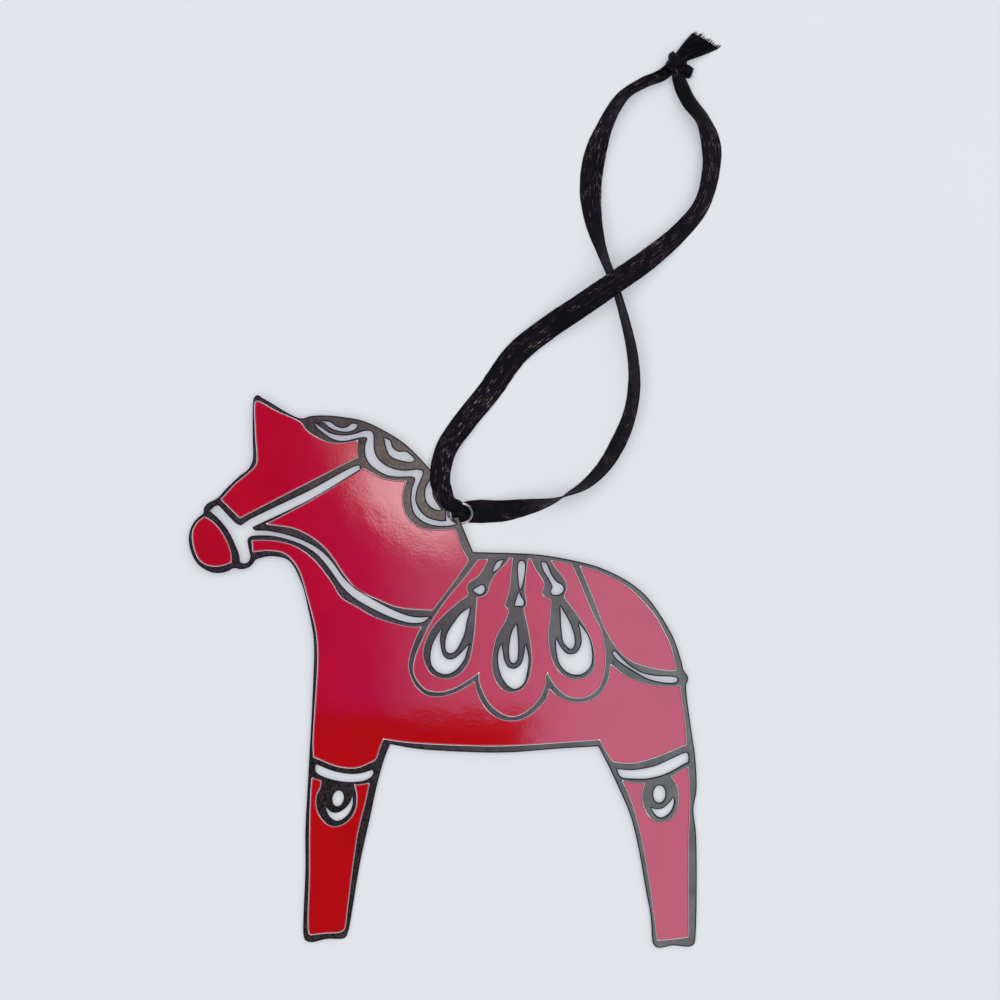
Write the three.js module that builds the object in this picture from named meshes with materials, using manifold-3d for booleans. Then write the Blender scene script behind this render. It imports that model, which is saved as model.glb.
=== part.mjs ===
import * as THREE from 'three';
import { mergeVertices } from 'three/addons/utils/BufferGeometryUtils.js';
import Module from 'manifold-3d';

// A hanging ornament: a flat pierced metal horse with enamel fillings, a jump ring and a tied
// ribbon. It lies on its back with the head towards -X and the ribbon loop towards +Y.
// All lengths are in millimetres and all angles in radians.

// Driving dimensions
const PLATE_THICKNESS = 0.6;
const POCKET_DEPTH = 0.25;
const ENAMEL_THICKNESS = 0.17;
const ENAMEL_GAP = 0.06;
const CURVE_TOLERANCE = 0.025;

const HOOF_LINE_Y = -37.55;
const RING_RADIUS = 1.6;
const RING_WIRE_RADIUS = 0.18;
const RING_SLOPE = THREE.MathUtils.degToRad(33);
const RING_X = 2.4;
const RING_Y = 21.5;
// how far the middle of the plate hangs below the middle of the ring
const BAR_DROP = 0.1;
// the slot in the mane that the ring's wire passes through: X, low Y, high Y, half width
const RING_SLOT = [RING_X - 1.42, RING_Y - 1.35, RING_Y + 0.95, 0.45];
// the oval holes in the leg medallions: X, Y, half width, half height, turn
const FRONT_EYELET = [-14.2, -17.25, 0.75, 1.1, -0.2];
const REAR_EYELET = [29.45, -16.65, 0.82, 1.18, 0];

const RIBBON_CORE_RADIUS = 0.4;
const RIBBON_SIDES = 8;
const RIBBON_STEPS = 44;
const KNOT_CENTRE = [31.55, 82.4];
const KNOT_HALF_SIZE = [1.4, 1.75, 1.3];
const TAIL_THICKNESS = 0.4;

const PLATED_METAL = { color: 0x4a4440, roughness: 0.42, metalness: 1 };
const RED_ENAMEL = { color: 0xb80d1e, roughness: 0.15, metalness: 0 };
const BRIGHT_WIRE = { color: 0xc9bcb6, roughness: 0.25, metalness: 1 };
const BLACK_SATIN = { color: 0x0d0a0d, roughness: 0.55, metalness: 0 };

// Outlines. Each one is a list of stretches, and each stretch ends at a corner. A stretch of one
// point is a straight edge from the corner before it; a longer one is a smooth curve from that
// corner through its points. An outline of a single stretch is a smooth closed loop.

// The edge of the whole plate, from the ear round by the back, the legs and the chest.
const SILHOUETTE = [
  [[-25.45, 37.35], [-25.05, 37.55], [-24.5, 37.2], [-19.25, 34.4]],
  [[-17.95, 34.7], [-16.05, 34.8], [-13.6, 34.6], [-10.75, 34.05], [-8.15, 32.85], [-5.3, 31.1],
    [-3, 28.9], [-1.65, 27.4], [-0.55, 25.75], [0.4, 24], [1.5, 22.9], [2.1, 21.8], [2.3, 20.85],
    [2.65, 19.9]],
  [[4.15, 16.25]],
  [[7.75, 16.15], [12.95, 15.9], [17.3, 15.2], [21.35, 14.15], [25.05, 12.35], [27.5, 10.45],
    [29.55, 7.75], [31.3, 4.7], [32.4, 1.55], [32.7, 0.3]],
  [[33.35, -0.8], [33.3, -1.3], [33.1, -1.75]],
  [[33.4, -4.6], [33.75, -7.7], [34.3, -11.4], [34.5, -16.15], [34.1, -18.6], [34.45, -22.3],
    [34.35, -36.3], [34.15, -37.1], [33.5, -37.4], [31.3, -37.25], [29.25, -37.55], [28.65, -37.1],
    [28.45, -36.05]],
  [[28.25, -33.15], [27.65, -29.9], [26.7, -24.45], [25.5, -19.55], [23.8, -15.6], [22.3, -12.35],
    [21.15, -10.15]],
  [[16.05, -10.45], [8.3, -11], [0.7, -10.8], [-3.8, -10.45], [-7.1, -9.85]],
  [[-7.75, -11.4], [-8.85, -15.2], [-9.85, -19.85], [-11.15, -25.7], [-12.25, -32.2],
    [-12.8, -35.2], [-13.2, -36.15], [-13.9, -36.35]],
  [[-15.65, -36.35], [-17.85, -36.8], [-18.65, -36.55], [-18.9, -35.9], [-18.9, -32.9],
    [-18.65, -26.75], [-18.65, -21.6], [-18.3, -15.5], [-18.1, -11.55], [-17.7, -3.9],
    [-17.5, 4.25], [-18.1, 7.8], [-19.2, 12.15], [-20.85, 15.05], [-22.75, 15.65], [-24.25, 15.55],
    [-25.4, 15.15]],
  [[-25.8, 14.6], [-26.4, 14.1], [-27.5, 13.9], [-28.3, 14.05]],
  [[-29.55, 13.5], [-30.9, 13.4], [-32.1, 13.8], [-33.35, 14.75], [-34.15, 16.35], [-34.45, 18],
    [-34.25, 19.25], [-33.75, 20.3], [-33.1, 21], [-32.45, 21.55]],
  [[-32.4, 22.1], [-32, 22.75], [-31.15, 23.25], [-30.5, 23.6]],
  [[-29.4, 24.8], [-27.5, 26.6], [-26.4, 27.45]],
  [[-26, 28.1], [-25.75, 28.75], [-25.75, 31.9], [-25.75, 35], [-25.65, 36.95]],
];

// Fields of enamel that touch only the lines around them
const ENAMEL_HEAD = [
  [[-25.3, 36.65], [-24.9, 36.65], [-22.75, 35.45], [-19.25, 33.8]],
  [[-18.4, 32.7], [-17, 31.75], [-15.5, 31.1], [-13.9, 30.95], [-12.4, 31.15], [-11.55, 31.3]],
  [[-11.65, 30.25], [-11.55, 29.15]],
  [[-27.5, 20.9]],
  [[-30, 23.4]],
  [[-28.05, 25.5], [-26.25, 27], [-25.25, 28.15]],
  [[-25.3, 31.9]],
];
const ENAMEL_MUZZLE = [
  [[-32.25, 21]],
  [[-31.15, 20.3], [-30.2, 19.25], [-29.55, 18.15], [-29, 17], [-28.7, 15.7], [-28.7, 14.9]],
  [[-29.55, 14.55], [-30.75, 14.35], [-32, 14.55], [-32.95, 15.2], [-33.6, 16.5], [-33.9, 18],
    [-33.8, 19.25], [-33.2, 20.3]],
];
const ENAMEL_NECK = [
  [[-23.8, 20.05]],
  [[-17.5, 23.4], [-10.75, 27.6]],
  [[-9.55, 26.9], [-8.3, 26.3], [-6.8, 25.95], [-4.95, 25.85]],
  [[-5.4, 24.25], [-5.3, 22.35], [-4.75, 20.9], [-3.75, 19.85], [-2.25, 19.35], [-0.4, 19.25],
    [1.7, 19.35]],
  [[2.05, 18.55], [2.5, 16.95], [3.55, 15.1]],
  [[0.95, 11.45], [-0.25, 9.85], [-1.35, 8.4]],
  [[-3.75, 8.5], [-6.45, 8.9], [-9.15, 10.05], [-11.65, 11.3], [-13.3, 13.2], [-14.95, 15.65],
    [-16.25, 17.15], [-17.9, 18.4], [-20, 19.45], [-22.05, 19.85]],
];
const ENAMEL_RUMP = [
  [[18.7, 14.35]],
  [[19.35, 12.75], [20.2, 10.65], [21.05, 8.6], [21.85, 6.35], [22.7, 4.7], [23.95, 2.9],
    [25.6, 1.5], [27.7, 0.75], [29.8, 0.3], [31.65, 0.2]],
  [[31.45, 1.5], [30.9, 3.6], [30.05, 5.4], [28.7, 7.75], [27.3, 9.4], [25.6, 11.1],
    [23.55, 12.45], [21.45, 13.45]],
];

// The body field runs on under the saddle, whose outer line then covers its upper edge.
const BODY_FIELD = [
  [[-25.8, 17.8]],
  [[-22.9, 17.75], [-20.4, 17.15], [-18.3, 15.9], [-16.65, 14.25], [-14.95, 11.95],
    [-13.75, 10.05], [-11.65, 8.8], [-9.55, 7.55], [-7.05, 6.65], [-4.35, 6.05], [-2.95, 6.05]],
  [[5.05, 4.25]],
  [[20.7, 2.2]],
  [[22.75, 1.05]],
  [[23.7, 0.25], [25.05, -0.7], [26.75, -1.4], [28.4, -1.85], [30.5, -2.05], [32.25, -1.95]],
  [[32.55, -4.6], [32.85, -6.65], [33.1, -9.85]],
  [[30.75, -10.85], [29, -11.55], [27.25, -12.1], [25.7, -12.4], [24.25, -12.35], [23.2, -12.15]],
  [[22.45, -11.2], [21.35, -9.2]],
  [[16.05, -9.55], [8.35, -10.05], [0.7, -9.9], [-5.4, -9.5], [-8.05, -9.1]],
  [[-8.45, -10.05], [-9.1, -11.85]],
  [[-10.15, -12.45], [-11.3, -12.95], [-12.35, -13.05], [-13.4, -13], [-14.75, -12.7],
    [-16.25, -12.1], [-17.5, -11.55]],
  [[-17.55, -9.35], [-17.2, -3.9], [-16.9, 2.2], [-17.15, 5.6], [-17.9, 8.6], [-18.55, 11.1],
    [-19.35, 13.6], [-20.4, 15.25], [-21.65, 16.2], [-23.75, 16.5], [-25.7, 16.3]],
];
const SADDLE_OUTSIDE = [
  [[3.6, 15]],
  [[1.25, 11.9], [-1.3, 8.4], [-2.95, 6.05], [-4.15, 3.3], [-4.65, 1], [-4.4, -0.5], [-3.7, -1.95],
    [-2.2, -3.2], [-0.25, -3.4], [1.9, -2.8], [3.7, -1.8], [4.35, -1.4]],
  [[4.7, -2.95], [5.45, -4.45], [6.35, -5.55], [7.65, -6.4], [9.15, -6.7], [10.6, -6.55],
    [11.95, -5.9], [13.1, -4.9], [14.1, -3.75], [14.55, -2.35]],
  [[15.25, -3.1], [16.55, -3.85], [18.05, -4.2], [19.55, -4.1], [20.85, -3.5], [21.85, -2.45],
    [22.55, -0.95], [22.85, 1.05]],
  [[22.6, 3.6], [21.5, 6.7], [20.3, 9.3], [19.05, 12], [18.25, 14.2]],
];

// The saddle cloth inside its line, and the three metal flames that hang down it
const SADDLE_FIELD = [
  [[4.85, 15.15]],
  [[2.8, 12.45], [0.8, 10.1], [-0.75, 7.95], [-1.75, 6.3], [-2.8, 4.1], [-3.55, 2.35],
    [-3.9, 0.95], [-3.85, -0.3], [-3.25, -1.4], [-2.2, -2.4], [-0.3, -2.7], [1.5, -2.25],
    [3.15, -1.3], [4.25, -0.6]],
  [[4.95, -0.05]],
  [[5.1, -1.6], [5.7, -3.1], [6.5, -4.4], [7.65, -5.4], [8.95, -6], [9.95, -6], [11.3, -5.4],
    [12.6, -4.25], [13.4, -3.1], [13.9, -1.75], [13.95, -0.55]],
  [[14.25, -0.1]],
  [[14.6, -0.8], [15.1, -1.6], [15.9, -2.5], [17.05, -3.3], [18.55, -3.55], [20, -3.15],
    [21.2, -2.1], [21.85, -0.3], [22.1, 1.85], [21.9, 3.65], [21.5, 5.65], [20.5, 7.6],
    [19.2, 10.6], [18.2, 13.05], [17.45, 14.6]],
  [[14.55, 15.1], [11.85, 15.3], [8.45, 15.4]],
];
const FLAME_1 = [
  [[6.35, 15.85]],
  [[5.45, 13.9], [4.65, 12.85]],
  [[3.95, 12.45], [3.4, 11.9], [3.25, 11.2], [3.45, 10.5], [2.45, 9.7], [0.8, 8.35], [-0.4, 7.2],
    [-1.5, 5.9], [-2.3, 4.25], [-2.7, 2.65], [-2.45, 1.25], [-1.5, -0.35], [0.4, -1], [2.3, -0.35],
    [3.55, 1.25], [4.15, 3.7], [4.5, 6.85], [4.7, 10]],
  [[5.6, 10.25], [6.15, 10.8], [6.4, 11.6]],
  [[6.8, 12.55], [7.7, 13.8], [8.7, 14.75], [9.4, 15.85]],
];
const FLAME_2 = [
  [[9.55, 15.85]],
  [[9.3, 13.9], [9.05, 11.4]],
  [[8.6, 9.6], [8.4, 9.1], [8.7, 8.6], [9, 8.3]],
  [[8.5, 6.95], [7.35, 4.95], [6.85, 3], [6.65, 1.35], [6.85, -0.3], [7.3, -1.45], [8.15, -2.45],
    [9.3, -2.85], [10.45, -2.6], [11.45, -1.6], [12, -0.1], [12.2, 1.85], [11.95, 4],
    [11.55, 6.45], [11.1, 8.6]],
  [[11.45, 9.25], [11.25, 10.6], [11.35, 13.05], [11.75, 15.85]],
];
const FLAME_3 = [
  [[11.65, 15.85]],
  [[12.6, 13.9], [13.75, 11.9]],
  [[13.6, 11.4], [13.5, 10.6], [13.9, 10.1], [14.7, 9.75]],
  [[14.6, 7.95], [14.35, 5.65], [14.4, 3.65], [14.9, 1.5], [15.75, 0.05], [16.9, -0.8],
    [18.4, -1.05], [19.7, -0.7], [20.6, 0.35], [20.75, 1.85], [20.35, 4], [19.2, 6.45],
    [17.55, 8.8], [16.55, 10.1]],
  [[16.95, 11.6], [16.8, 12.25], [16.25, 13.05], [15.55, 13.9], [14.3, 15.85]],
];

// The legs below their garters, with a round medallion hanging from each garter
const FRONT_LEG_FIELD = [
  [[-17.7, -14.45]],
  [[-16.2, -14.95], [-14, -15.35], [-12, -15.45], [-10, -15.2]],
  [[-10.35, -16.95], [-10.85, -18.9], [-11.65, -22.4], [-12.25, -26.75], [-13.15, -33.85]],
  [[-13.35, -34.95], [-13.9, -35.35], [-15.65, -35.5], [-17.95, -35.75]],
  [[-18.15, -35.5]],
  [[-18.05, -26.75], [-18.05, -22.3], [-17.9, -16.95]],
];
const FRONT_MEDALLION = [
  [[-16.45, -14.5]],
  [[-16.65, -15.75], [-17.1, -16.65], [-17.25, -17.6], [-17.15, -18.55], [-16.85, -19.4],
    [-16.4, -20.1], [-15.8, -20.7], [-15.05, -21.05], [-14.25, -21.05], [-13.55, -20.8],
    [-12.7, -20.2], [-12.05, -19.3], [-11.7, -18.35], [-11.6, -17.4], [-11.65, -16.45],
    [-11.9, -15.4]],
  [[-11.85, -14.5]],
];
const REAR_LEG_FIELD = [
  [[24.45, -14.85]],
  [[25.85, -15.15], [27.5, -15.2], [29.25, -14.85], [31.15, -14.2], [33.3, -12.95]],
  [[33.55, -16.45], [33.4, -22.3], [33.4, -36.05]],
  [[31.45, -36.3], [29.2, -36.5]],
  [[28.85, -33.85], [28.45, -30.6], [27.7, -25.95], [27, -22.3], [26.05, -18.65], [25.35, -16.75]],
];
const REAR_MEDALLION = [
  [[27.35, -14.5]],
  [[27.45, -15.2], [27.15, -16.05], [27.05, -16.9], [27.15, -17.85], [27.45, -18.75],
    [27.85, -19.45], [28.5, -20.15], [29.45, -20.55], [30.4, -20.35], [31.25, -19.8],
    [31.85, -18.9], [32.1, -17.8], [32.1, -16.5], [31.75, -15.25], [31.1, -14.2]],
  [[30.65, -13.7]],
];

// Holes of the bridle and reins, which are one, and of the mane
const REINS = [
  [[-31.6, 21.8]],
  [[-30.9, 22.45], [-30.35, 22.55]],
  [[-29.15, 21.25], [-27.9, 20.05], [-27.35, 19.85]],
  [[-26.25, 20.6], [-17.9, 24.65], [-13.75, 26.95], [-11.65, 27.95], [-11.25, 27.9],
    [-11.25, 27.45]],
  [[-13.75, 25.95], [-17.9, 23.45], [-22.05, 21.4], [-25.8, 19.65]],
  [[-25.6, 19.25], [-23.75, 19.1], [-21.45, 18.65], [-18.95, 17.8], [-16.65, 16.5], [-14.95, 14.8],
    [-13.3, 12.55], [-11.65, 11.1], [-9.55, 9.9], [-7.25, 8.6], [-4.75, 7.6], [-3.3, 7.35],
    [-1.7, 7.45]],
  [[-2.7, 6.75], [-4.35, 6.65], [-6.45, 7.2], [-9.55, 8.6], [-12.05, 10.1], [-13.75, 11.75],
    [-15.4, 14.05], [-17.05, 15.95], [-18.95, 17.2], [-21.45, 18.1], [-23.75, 18.5], [-26, 18.4]],
  [[-26.45, 18], [-26.35, 16.9], [-26.1, 15.55], [-26.4, 14.9], [-27, 14.7], [-27.5, 14.9]],
  [[-27.65, 15.95], [-28.2, 17.35], [-28.85, 18.7], [-29.65, 19.9], [-30.65, 21]],
];
const MANE_LEAF = [
  [[-16.6, 34]],
  [[-16.05, 33.8], [-15.4, 33.25], [-14.45, 32.8], [-13.2, 32.6], [-12.25, 32.75], [-11.7, 33.1],
    [-11.55, 33.55]],
  [[-12.25, 33.65], [-12.8, 33.25], [-13.5, 33.05], [-14.45, 33.3], [-15.25, 33.85]],
];
const MANE_WAVE = [
  [[-17.4, 33.75]],
  [[-16.4, 33.1], [-15.65, 32.55], [-14.55, 32.15], [-13.05, 32.05], [-11.7, 32.3], [-10.6, 32.65],
    [-9.8, 32.65], [-9.45, 32.3], [-9.4, 31.1], [-9.25, 29.85], [-8.8, 28.9], [-7.9, 28.1],
    [-6.8, 27.55], [-5.15, 27.25], [-3.4, 27.4], [-2.7, 27.15], [-2.85, 26.45], [-3.4, 25.1],
    [-3.7, 23.4], [-3.25, 22.1], [-2.2, 21], [-0.55, 20.45], [0.7, 20.4]],
  [[1.75, 20.4]],
  [[1.8, 20.05], [0.7, 19.85], [-0.9, 19.85], [-2.6, 20.4], [-3.8, 21.55], [-4.2, 23.2],
    [-4.1, 24.8], [-3.7, 26.25], [-4.1, 26.5], [-5.85, 26.5], [-7.5, 26.7], [-8.85, 27.4],
    [-9.95, 28.35], [-10.45, 29.5], [-10.45, 30.8], [-10.2, 31.75], [-10.9, 31.85], [-12, 31.6],
    [-13.5, 31.35], [-14.85, 31.6], [-15.95, 32.3], [-16.9, 33.05]],
];
const MANE_CRESCENT_2 = [
  [[-7.9, 31.7]],
  [[-7.6, 30.4], [-7.1, 29.35], [-5.85, 28.75], [-4.15, 28.5]],
  [[-3.8, 28.75], [-4.3, 29.35], [-5.05, 29.85]],
  [[-6, 29.85], [-6.8, 30.4], [-7.15, 31.35]],
];
const MANE_CRESCENT_3 = [
  [[-1.65, 26.05]],
  [[-2.2, 25.1], [-2.35, 24], [-2.05, 22.9], [-1.5, 22.35], [-0.7, 21.95], [-0.15, 21.95]],
  [[-0.7, 22.75], [-1.3, 23.75], [-1.45, 24.95]],
];

// Holes in the flames
const FLAME_1_LEAF = [
  [[8.25, 15.15]],
  [[7.6, 15], [7.1, 14.35], [6.8, 13.5]],
  [[7.6, 14.05]],
];
const FLAME_1_BALL = [
  [[4.2, 11.05], [4.75, 11.45], [5.45, 11.75], [5.7, 11.35], [5.6, 10.8], [5.05, 10.5],
    [4.55, 10.75]],
];
const FLAME_1_CORE = [
  [[3.7, 8.75]],
  [[3.55, 7.8], [3.25, 6.8], [3, 5.4], [2.45, 4], [1.65, 2.75], [1, 2.5], [0.55, 2.75],
    [0.4, 3.85], [0.7, 5.2], [1.35, 6.3], [2.45, 7.8]],
];
const FLAME_1_CRESCENT = [
  [[-0.15, 5.85]],
  [[-1.15, 4.1], [-1.6, 2.5], [-1.45, 0.85], [-0.55, -0.1], [0.55, -0.35], [1.75, 0.2],
    [2.85, 1.55], [3.55, 3.7]],
  [[2.5, 2.5], [1.65, 1.8], [0.8, 1.65], [0.15, 2.1], [-0.25, 3.3], [-0.35, 4.65]],
];
const FLAME_2_LEAF = [
  [[10.35, 14.75], [10.7, 15.05], [11.1, 14.75], [11.1, 13.25], [10.55, 11.2], [10.3, 13.1]],
];
const FLAME_2_BASE = [
  [[10.35, 10.8]],
  [[10.6, 10.25], [11.05, 9.45], [10.9, 8.95]],
  [[9.8, 8.95]],
  [[10.05, 9.85]],
];
const FLAME_2_CORE = [
  [[10, 6.45]],
  [[10.2, 4.4], [10.2, 2.15], [10, 1.4], [9.6, 1.15], [9.25, 1.4], [9.05, 2.75], [9.25, 4.65],
    [9.65, 5.9]],
];
const FLAME_2_CRESCENT = [
  [[7.95, 3.8]],
  [[7.6, 2.5], [7.6, 1], [8.05, -0.65], [8.85, -1.85], [9.8, -2.35], [10.9, -1.75], [11.45, -0.1],
    [11.65, 1.8], [11.25, 3.7]],
  [[11.05, 2.2], [10.7, 1.05], [9.85, 0.4], [8.9, 0.6], [8.35, 1.6], [8.15, 2.75]],
];
const FLAME_3_LEAF = [
  [[13.4, 14.75]],
  [[13.7, 14.9], [14.05, 14.7], [14.7, 13.25], [15.5, 12.15], [16.25, 11.7], [16.4, 11.05],
    [15.85, 10.5], [14.95, 10.5], [14.7, 11]],
  [[14.95, 11.45], [14.55, 12.45], [13.8, 13.65]],
];
const FLAME_3_CORE = [
  [[16, 8.9]],
  [[16.6, 7.85], [17.3, 6.55], [17.9, 4.65], [17.9, 3.6], [17.5, 3.05], [16.95, 3.4], [16.45, 4],
    [16.15, 5.9]],
];
const FLAME_3_CRESCENT = [
  [[15.4, 4.55]],
  [[15.5, 2.75], [16.05, 0.85], [17.3, -0.25], [18.8, -0.35], [19.95, 0.5], [20.3, 2.15],
    [19.75, 4.8], [18.45, 6.65]],
  [[18.8, 5.2], [18.85, 3.7], [18.1, 2.5], [16.95, 2.4], [16.05, 3.3]],
];

// Holes of the tail strap, garters and medallions
const TAIL_STRAP = [
  [[23.05, 2.5]],
  [[23.35, 2.8], [23.9, 2.2], [24.8, 1.3], [25.9, 0.45], [27.3, -0.25], [29.1, -0.6],
    [31.15, -0.7], [31.85, -0.9], [31.9, -1.3], [31.5, -1.5]],
  [[30.5, -1.5], [29.1, -1.3], [27.55, -0.8], [26.2, 0], [24.9, 0.8], [23.9, 1.5]],
];
const FRONT_GARTER = [
  [[-17.15, -12.6]],
  [[-16.4, -12.9], [-15.35, -13.35], [-14.05, -13.7], [-12.75, -13.9], [-11.65, -13.9],
    [-10.45, -13.65], [-9.6, -13.35]],
  [[-9.4, -13.7], [-9.75, -14.35]],
  [[-10.75, -14.85], [-11.9, -15], [-13.2, -15], [-14.5, -14.8], [-15.8, -14.45], [-16.8, -14]],
  [[-17.2, -13.65], [-17.3, -13.15]],
];
const FRONT_CRESCENT = [
  [[-15.95, -18.35]],
  [[-15.55, -19.4], [-15.05, -20], [-14.4, -20.3], [-13.7, -20.1], [-13.05, -19.6], [-12.5, -18.8],
    [-12.2, -17.8], [-12.25, -16.9]],
  [[-12.5, -17.65], [-12.95, -18.3], [-13.65, -18.9], [-14.4, -19.2], [-15.1, -19.1]],
];
const REAR_GARTER = [
  [[23.7, -13.2]],
  [[24.2, -13.3], [25.8, -13.4], [27.25, -13.2], [29, -12.8], [30.55, -12.1], [31.85, -11.5],
    [32.9, -11.05]],
  [[33.25, -11.1], [33.4, -11.8]],
  [[33.35, -12.3]],
  [[32.7, -12.6], [31.6, -13.25], [30.3, -13.9], [29, -14.3], [27.6, -14.55], [25.95, -14.55],
    [24.45, -14.4]],
  [[24, -14]],
];
const REAR_CRESCENT = [
  [[28.3, -18.5]],
  [[28.65, -19.1], [29.15, -19.65], [29.75, -19.85], [30.35, -19.6], [30.95, -19.05],
    [31.3, -18.3], [31.45, -17.45], [31.3, -17.1]],
  [[31, -17.6], [30.55, -18.1], [29.85, -18.6], [29.25, -18.7], [28.75, -18.65]],
];

// The ribbon's two strands, from the middle of the ring to the knot and back. The right one
// passes over the left one, and over the mane into the ring.
const ROUTE_LEFT = [
  [2.5, 21.55, 0.75], [3.15, 21.6, 0.55], [4.1, 21.7, 0.45], [5.7, 21.75, 0.45],
  [8.15, 21.8, 0.45], [10.9, 22.25, 0.5], [13.75, 22.85, 0.9], [16.6, 23.85, 1.5],
  [19.2, 25.2, 0.9], [21.9, 27.8, 0.5], [24.1, 31.5, 0.45], [25.45, 35, 0.45],
  [26.05, 38.95, 0.5], [25.8, 43.05, 0.8], [24.75, 47.8, 1.4], [23.3, 52.6, 1.5],
  [21.65, 57.05, 1.4], [20.5, 61.45, 0.8], [20.15, 65.8, 0.5], [20.7, 70, 0.5],
  [22.05, 73.95, 0.6], [24.25, 77.65, 0.9], [27.35, 79.85, 1.1], [29.9, 80.9, 1.3],
];
const ROUTE_RIGHT = [
  [32.25, 80.2, 1.2], [33.5, 77.65, 0.8], [35.4, 74.9, 0.5], [36.5, 71.5, 0.45],
  [36.4, 67.55, 0.45], [35.1, 63.2, 0.55], [32.25, 59.65, 1.1], [27.9, 55.85, 2.7],
  [23.3, 52.6, 3.6], [18.65, 49.45, 2.9], [14.3, 46.6, 1.6], [10.05, 43.2, 0.7],
  [6.25, 38, 0.45], [2.85, 33.8, 0.5], [0.4, 30.1, 1.1], [-0.4, 26.2, 2.0], [0, 24.3, 2.35],
  [0.45, 23.2, 2.55], [1, 22.6, 2.75], [1.6, 22.35, 2.65], [1.95, 22.2, 2.45],
];

// The ribbon's two ends beyond the knot
const KNOT_TAIL = [
  [[32.8, 83.9]],
  [[34.15, 86.9]],
  [[36.05, 86.2], [38, 85.05]],
  [[36.6, 84.5]],
  [[33.35, 83.4]],
];
const KNOT_STUB = [
  [[33.4, 82.1]],
  [[34.05, 81.85], [34.1, 81.3], [33.75, 80.75], [33.3, 80.7]],
  [[33.1, 81.3]],
];

// Curves and outlines

// The points of a smooth curve, with those that lie within CURVE_TOLERANCE of a chord left out.
function smoothPoints(through, closed) {
  const spatial = through.map(([x, y]) => new THREE.Vector3(x, y, 0));
  const curve = new THREE.CatmullRomCurve3(spatial, closed, 'centripetal');
  const stepsPerPoint = 8;
  const fine = curve.getPoints(through.length * stepsPerPoint);
  return thinned(fine.map((point) => new THREE.Vector2(point.x, point.y)));
}

function thinned(points) {
  if (points.length < 3) return points;
  const first = points[0];
  const last = points.at(-1);
  let farthest = 0;
  let height = 0;
  points.forEach((point, index) => {
    const distance = distanceFromChord(point, first, last);
    if (distance > height) {
      height = distance;
      farthest = index;
    }
  });
  if (height < CURVE_TOLERANCE) return [first, last];
  return [...thinned(points.slice(0, farthest + 1)).slice(0, -1), ...thinned(points.slice(farthest))];
}

function distanceFromChord(point, first, last) {
  const chord = last.clone().sub(first);
  const offset = point.clone().sub(first);
  const length = chord.length();
  return length < 1e-6 ? offset.length() : Math.abs(chord.cross(offset)) / length;
}

function outline(stretches) {
  if (stretches.length === 1) return smoothPoints(stretches[0], true).slice(0, -1);
  return stretches.flatMap((stretch, index) => {
    const corner = stretches.at(index - 1).at(-1);
    return smoothPoints([corner, ...stretch], false).slice(1);
  });
}

function oval(centreX, centreY, halfWidth, halfHeight, turn) {
  const curve = new THREE.EllipseCurve(
    centreX, centreY, halfWidth, halfHeight, 0, 2 * Math.PI, false, turn);
  const sides = 20;
  return curve.getPoints(sides).slice(0, -1);
}

// A slot with round ends, standing along Y.
function slot(centreX, lowY, highY, halfWidth) {
  const shape = new THREE.Shape();
  const stepsPerEnd = 8;
  shape.absarc(centreX, highY - halfWidth, halfWidth, 0, Math.PI);
  shape.absarc(centreX, lowY + halfWidth, halfWidth, Math.PI, 2 * Math.PI);
  return shape.getPoints(stepsPerEnd);
}

// The outline moved inwards by the distance, or outwards if the distance is negative.
function offset(points, distance) {
  const side = THREE.ShapeUtils.isClockWise(points) ? -1 : 1;
  const longestMove = 3 * Math.abs(distance);
  return points.map((point, index) => {
    const before = edgeNormal(points.at(index - 1), point);
    const after = edgeNormal(point, points[(index + 1) % points.length]);
    const move = before.add(after);
    move.multiplyScalar((2 * side * distance) / move.lengthSq()).clampLength(0, longestMove);
    return move.add(point);
  });
}

function edgeNormal(from, to) {
  const edge = to.clone().sub(from).normalize();
  return new THREE.Vector2(-edge.y, edge.x);
}

// Solids

const wasm = await Module();
wasm.setup();

function solidFrom(geometry) {
  const bare = geometry.clone();
  bare.deleteAttribute('normal');
  bare.deleteAttribute('uv');
  const merged = mergeVertices(bare, 1e-5);
  return new wasm.Manifold(new wasm.Mesh({
    numProp: 3,
    vertProperties: new Float32Array(merged.attributes.position.array),
    triVerts: new Uint32Array(merged.index.array),
  }));
}

function geometryFrom(solid) {
  const mesh = solid.getMesh();
  const geometry = new THREE.BufferGeometry();
  geometry.setAttribute('position', new THREE.BufferAttribute(mesh.vertProperties, mesh.numProp));
  geometry.setIndex(new THREE.BufferAttribute(mesh.triVerts, 1));
  geometry.computeVertexNormals();
  return geometry;
}

// The flat solid with this outline between two heights.
function slab(points, low, high) {
  const shape = new THREE.Shape(points);
  const geometry = new THREE.ExtrudeGeometry(shape, { depth: high - low, bevelEnabled: false });
  geometry.translate(0, 0, low);
  return solidFrom(geometry);
}

// The part of a field that lies outside its islands, drawn in from all of its edges by the margin.
function fieldSolid({ field, islands }, low, high, margin) {
  return islands.reduce(
    (solid, island) => solid.subtract(slab(offset(island, -margin), low - 1, high + 1)),
    slab(offset(field, margin), low, high));
}

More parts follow.
